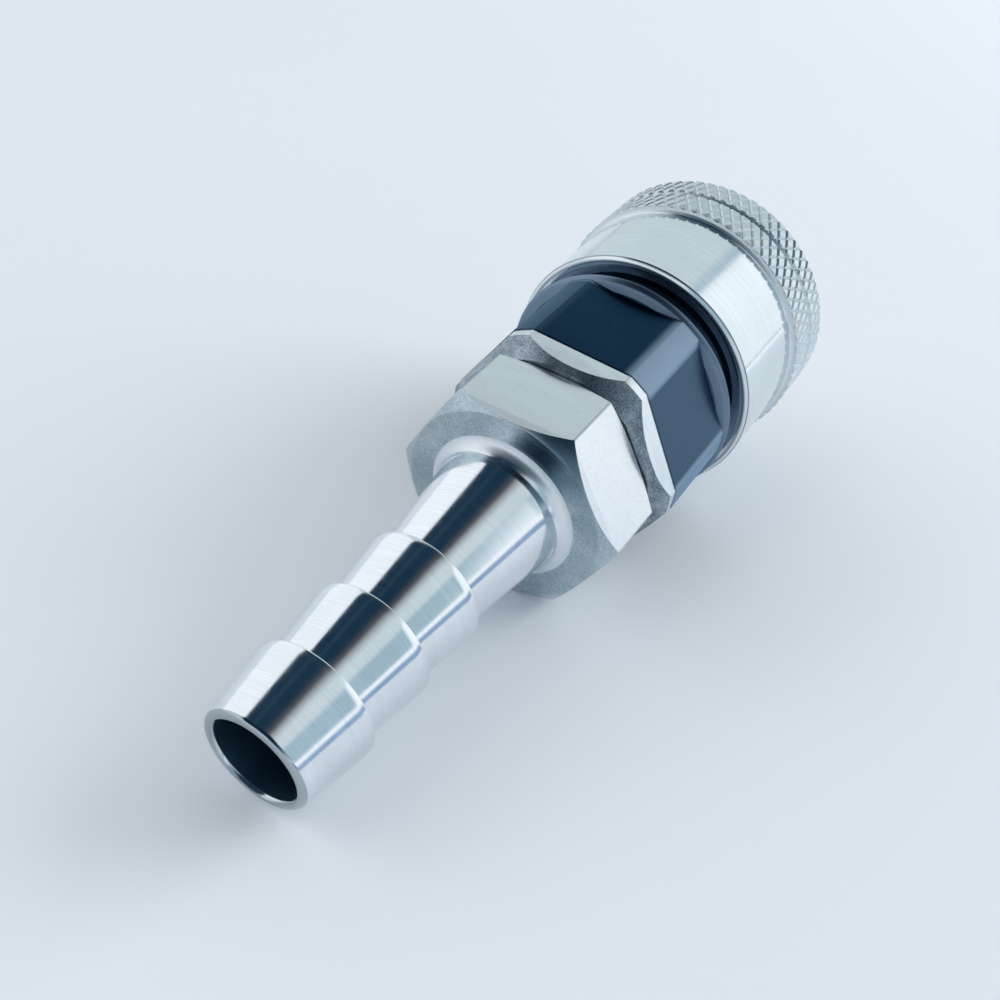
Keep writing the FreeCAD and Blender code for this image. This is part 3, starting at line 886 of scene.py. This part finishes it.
def bareFinish(name):
    # Bare turned steel, smooth or tumbled. On the turned face a dark sector is painted in by the angle
    # about the axis: a painted reflection.
    values = {**bareTone, **bareMetals[name]}
    material, tree, shader = newFinish(name)
    turning = toolMarks(tree, values)
    wear = handling(tree, values)
    tone = product(tree, wear["Smudge"], wear["Grain"])
    base = mixColour(tree, mapRange(tree, tone, *values["tone"]), values["dark"], values["light"])
    if "paintedReflectionTone" in values:
        angle = useGroup(tree, placeGroup)["Angle"]
        paintedReflection = product(
            tree, mapRange(tree, angle, *values["paintedReflectionStart"], smooth=True),
            mapRange(tree, angle, *values["paintedReflectionEnd"], smooth=True), values["paintedReflectionTone"],
        )
        base = mixColour(tree, paintedReflection, base, values["paintedReflectionColour"])
    rough = mapRange(tree, turning["Bands"], *values["bands"], *values["rough"])
    setMetal(tree, shader, values, base, rough, turning["Marks"], wear["Grain"])
    return material


coat = {
    "lines": 9.0, "smear": 0.6, "smudge": 6.0, "grain": 11.0, "seed": 5.0, "tone": (0.3, 0.7),
    # The lighter colour on the lands, the right-hand flat, the collar and the neck is painted light.
    "dark": (0.003, 0.023, 0.055), "light": (0.010, 0.038, 0.079), "paintedLight": (0.25, 0.33, 0.43),
    "edge": (0.72, 0.88, 1.0), "scratch": (0.06, 0.11, 0.17), "scratchTone": 0.25,
    "land": (11.25, 11.57), "landSide": (0.15, -0.1), "landHighlight": (0.12, 1.0), "hexEnd": (51.9, 51.8),
    "sideStart": (-0.5, -0.64), "sideEnd": (-1.7, -1.5), "sideHighlight": 0.24,
    "collar": (51.4, 51.5), "collarFront": (53.3, 53.2), "collarInside": (10.7, 10.8),
    "collarHighlight": 0.68, "neck": (53.0, 53.4), "neckPaintedLight": 0.4,
    "rough": (0.26, 0.34), "landRough": 0.04, "markDepth": 0.0000007, "grainDepth": 0.0000012,
}


def coatFinish(name):
    # Thin black coat with the metal's shine under it. It is painted lighter on the lands that face one
    # side, the right-hand flat, the collar and the neck: painted highlights, and painted light in the
    # neck's shade.
    values = coat
    material, tree, shader = newFinish(name)
    place = useGroup(tree, placeGroup)
    turning = toolMarks(tree, values)
    wear = handling(tree, values)
    along, radius, angle = place["Along"], place["Radius"], place["Angle"]
    land = product(
        tree, mapRange(tree, radius, *values["land"], smooth=True),
        mapRange(tree, angle, *values["landSide"], *values["landHighlight"]),
    )
    side = product(
        tree, mapRange(tree, angle, *values["sideStart"], 0.0, values["sideHighlight"]),
        mapRange(tree, angle, *values["sideEnd"]),
    )
    hexagon = mathNode(tree, "MAXIMUM", land, side)
    hexagon = product(tree, hexagon, mapRange(tree, along, *values["hexEnd"]))
    collar = product(
        tree, mapRange(tree, along, *values["collar"]), mapRange(tree, along, *values["collarFront"]),
        mapRange(tree, radius, *values["collarInside"]), values["collarHighlight"],
    )
    neck = mapRange(tree, along, *values["neck"], 0.0, values["neckPaintedLight"])
    paintedLight = mathNode(tree, "MAXIMUM", hexagon, mathNode(tree, "MAXIMUM", collar, neck))
    smudge = wear["Smudge"]
    base = mixColour(tree, mapRange(tree, smudge, *values["tone"]), values["dark"], values["light"])
    scratched = product(tree, wear["Scratches"], values["scratchTone"])
    base = mixColour(tree, scratched, base, values["scratch"])
    # Painted light: the places above take the lighter colour.
    base = mixColour(tree, paintedLight, base, values["paintedLight"])
    rough = mathNode(
        tree, "ADD", mapRange(tree, smudge, *values["tone"], *values["rough"]),
        product(tree, paintedLight, values["landRough"]),
    )
    shader.inputs["Specular Tint"].default_value = (*values["edge"], 1.0)
    marks = product(tree, turning["Marks"], paintedLight)
    setMetal(tree, shader, values, base, rough, marks, wear["Grain"])
    return material


rubber = {
    "smudge": 2.0, "grain": 12.0, "seed": 9.0, "dark": (0.014, 0.014, 0.015),
    "light": (0.035, 0.035, 0.037), "grains": (0.3, 0.7), "rough": (0.45, 0.6), "grainDepth": 0.000004,
}


def rubberFinish(name):
    values = rubber
    material, tree, shader = newFinish(name)
    wear = handling(tree, values)
    base = mixColour(tree, wear["Smudge"], values["dark"], values["light"])
    tree.links.new(base, shader.inputs["Base Color"])
    rough = mapRange(tree, wear["Grain"], *values["grains"], *values["rough"])
    tree.links.new(rough, shader.inputs["Roughness"])
    addBump(tree, shader, wear["Grain"], values["grainDepth"])
    return material


metals = {name: platedFinish(name) for name in platings}
metals.update({name: bareFinish(name) for name in bareMetals})
metals["blackCoat"] = coatFinish("blackCoat")
metals["sealRubber"] = rubberFinish("sealRubber")

# The order is that of the faces' material numbers.
pieceFinishes = (
    (barbPiece, ("platedBarb", "shadedTurnedFace")),
    (bodyPiece, ("bareSteel", "blackCoat", "tumbledSteel")),
    (sleevePiece, ("platedSleeve",)),
)
nodeFinishes = {
    "joint_o_ring": "sealRubber", "valve_o_ring": "sealRubber", "packing": "sealRubber",
    "valve_guide": "insideMetal", "valve": "insideMetal", "seat_ring": "insideMetal",
    "sleeve_ring": "wireMetal",
}
nodeFinishes.update({f"lock_ball_{index + 1}": "ballMetal" for index in range(body["balls"])})
for nodeName, finishName in nodeFinishes.items():
    node = frame["nodes"][nodeName]
    node.data.materials.clear()
    node.data.materials.append(metals[finishName])
for piece, finishNames in pieceFinishes:
    for finishName in finishNames:
        piece.data.materials.append(metals[finishName])
for nodeName, coil in coils.items():
    coil.data.materials.append(metals["wireMetal"])
    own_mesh(coil)
print("finishes done")


# Table

table = {
    "colour": (0.915, 0.94, 0.975), "darker": 0.97, "size": 5.0, "roughness": 0.9, "shine": 0.1,
    "clouds": {"Scale": 14.0, "Detail": 5.0},
}


def makeTable():
    values = table
    shape = bmesh.new()
    bmesh.ops.create_grid(shape, x_segments=1, y_segments=1, size=values["size"] / 2)
    bmesh.ops.translate(shape, vec=(0, 0, cadLow.z), verts=shape.verts)
    mesh = bpy.data.meshes.new("tableTop")
    shape.to_mesh(mesh)
    shape.free()
    top = bpy.data.objects.new("tableTop", mesh)
    bpy.context.scene.collection.objects.link(top)
    material, tree, shader = newFinish("paleTable")
    place = newNode(tree, "ShaderNodeTexCoord").outputs["Object"]
    clouds = newNode(tree, "ShaderNodeTexNoise", {"Vector": place, **values["clouds"]}).outputs["Fac"]
    pale = values["colour"]
    darker = tuple(part * values["darker"] for part in pale)
    tree.links.new(mixColour(tree, clouds, darker, pale), shader.inputs["Base Color"])
    shader.inputs["Roughness"].default_value = values["roughness"]
    shader.inputs["Specular IOR Level"].default_value = values["shine"]
    top.data.materials.append(material)


# Light

lamps = {
    "window": {"size": (0.6, 0.5), "energy": 3.0, "place": (0.60, -0.42, 0.34)},
    "panel": {"size": (0.9, 0.9), "energy": 3.0, "place": (-0.55, 0.65, 0.75)},
    "sky": {"size": (1.6, 1.6), "energy": 3.0, "place": (-0.1, 0.0, 1.3)},
}
lampAim = (-0.03, 0, 0)


def makeLamp(name, values):
    # The metal sees the room itself, and the lamps only light the table and the matt parts.
    lamp = bpy.data.lights.new(name, "AREA")
    lamp.shape = "RECTANGLE"
    lamp.size, lamp.size_y = values["size"]
    lamp.energy = values["energy"]
    light = bpy.data.objects.new(name, lamp)
    light.location = values["place"]
    towards = Vector(lampAim) - Vector(values["place"])
    light.rotation_euler = towards.to_track_quat("-Z", "Y").to_euler()
    light.visible_glossy = False
    bpy.context.scene.collection.objects.link(light)


# Directions are in the room's own axes: across, left and up, or a slope of one over another.
room = {
    "ceilingLeft": (0.74, 0.86), "ceilingRight": (-0.52, 0.13), "ceilingFront": (0.6, 0.78),
    "ceilingBack": (-5.0, -3.6), "ceilingSlant": 0.6, "leftSlant": 0.45, "leastUp": 0.02,
    "ceilingFade": (0.0, 0.6), "ceilingTone": (0.4, 0.95), "ceilingColour": (0.011, 0.035, 0.067),
    "ceilingEdge": (0.13, 0.115, 0.115), "beam": (0.26, 0.36, 0.46), "beamColour": (0.024, 0.054, 0.088),
    "leftWall": (0.0, 0.14), "leftSlope": 1.15, "wallColour": (0.67, 0.75, 0.785),
    "leftColour": (1.0, 1.04, 1.08), "leastAcross": 0.05,
    "patchLeft": (-0.25, -0.285), "patchTop": (0.78, 0.66), "patchFront": (0.25, 0.45),
    "patchColour": (1.05, 1.10, 1.14),
    "dipLeft": (-0.06, -0.24), "dipTop": (0.77, 0.67), "dipColour": (0.40, 0.54, 0.62),
    "lineSide": (-0.5, -0.62), "lineTop": (0.30, 0.24), "lineColour": (1.04, 1.08, 1.12),
    "sillSide": (-0.76, -0.82), "sillTop": (0.17, 0.11), "sillColour": (0.28, 0.40, 0.60),
    "backdrop": (0.76, 0.81, 0.86), "backdropLow": (0.43, 0.465, 0.53), "backdropRise": (-0.01, 0.22),
}


def makeWorld():
    # A pale room. Its dark ceiling and its low window line are what polished metal shows as bands.
    values = room
    world = bpy.data.worlds.new("room")
    bpy.context.scene.world = world
    world.use_nodes = True
    tree = world.node_tree
    background = tree.nodes["Background"]

    def rise(value, name):
        return mapRange(tree, value, *values[name], smooth=True)

    def fall(value, name):
        return mapRange(tree, value, *values[name], 1.0, 0.0, smooth=True)

    def less(value, other, share):
        return mathNode(tree, "SUBTRACT", value, product(tree, other, share))

    direction = newNode(tree, "ShaderNodeTexCoord").outputs["Generated"]
    across, left, up = newNode(tree, "ShaderNodeSeparateXYZ", {0: direction}).outputs
    height = mathNode(tree, "MAXIMUM", up, values["leastUp"])
    ahead = mathNode(tree, "DIVIDE", across, height)
    aside = mathNode(tree, "DIVIDE", left, height)
    behind = mathNode(tree, "MAXIMUM", product(tree, ahead, -1.0), 0.0)
    slant = mathNode(tree, "ADD", aside, product(tree, behind, values["ceilingSlant"]))
    fade = rise(slant, "ceilingRight")
    dark = product(
        tree, fall(less(aside, behind, values["leftSlant"]), "ceilingLeft"),
        mapRange(tree, fade, *values["ceilingFade"]), fall(ahead, "ceilingFront"),
        rise(ahead, "ceilingBack"),
    )
    tone = mapRange(tree, fade, *values["ceilingTone"])
    ceiling = mixColour(tree, tone, values["ceilingEdge"], values["ceilingColour"])
    first, middle, last = values["beam"]
    beam = product(
        tree, mapRange(tree, aside, first, middle), mapRange(tree, aside, middle, last, 1.0, 0.0)
    )
    ceiling = mixColour(tree, beam, ceiling, values["beamColour"])
    leftWall = rise(less(left, across, values["leftSlope"]), "leftWall")
    walls = mixColour(tree, leftWall, values["wallColour"], values["leftColour"])
    turned = mathNode(tree, "DIVIDE", left, mathNode(tree, "MAXIMUM", across, values["leastAcross"]))
    dip = product(tree, rise(turned, "dipLeft"), rise(up, "dipTop"))
    walls = mixColour(tree, dip, walls, values["dipColour"])
    patch = product(tree, rise(turned, "patchLeft"), rise(up, "patchTop"), rise(across, "patchFront"))
    walls = mixColour(tree, patch, walls, values["patchColour"])
    for name in ("line", "sill"):
        strip = product(
            tree, mapRange(tree, left, *values[name + "Side"]), mapRange(tree, up, *values[name + "Top"])
        )
        walls = mixColour(tree, strip, walls, values[name + "Colour"])
    reflected = mixColour(tree, dark, walls, ceiling)
    backdrop = mixColour(tree, rise(up, "backdropRise"), values["backdropLow"], values["backdrop"])
    direct = newNode(tree, "ShaderNodeLightPath").outputs["Is Camera Ray"]
    tree.links.new(mixColour(tree, direct, reflected, backdrop), background.inputs["Color"])
    background.inputs["Strength"].default_value = 1.0


# Camera

view = {
    "lens": 40.66, "sensor": 36, "nearest": 0.001, "farthest": 20,
    "place": (-0.109487, -0.030206, 0.054428), "turn": (51.3350, -10.7937, -58.0073),
}


def makeCamera():
    data = bpy.data.cameras.new("view")
    data.lens = view["lens"]
    data.sensor_width = view["sensor"]
    data.clip_start = view["nearest"]
    data.clip_end = view["farthest"]
    camera = bpy.data.objects.new("view", data)
    camera.location = view["place"]
    camera.rotation_euler = [math.radians(turn) for turn in view["turn"]]
    bpy.context.scene.collection.objects.link(camera)
    bpy.context.scene.camera = camera


makeTable()
makeWorld()
for lampName, lampValues in lamps.items():
    makeLamp(lampName, lampValues)
makeCamera()
bpy.context.scene.view_settings.view_transform = "Standard"
print("stage done")
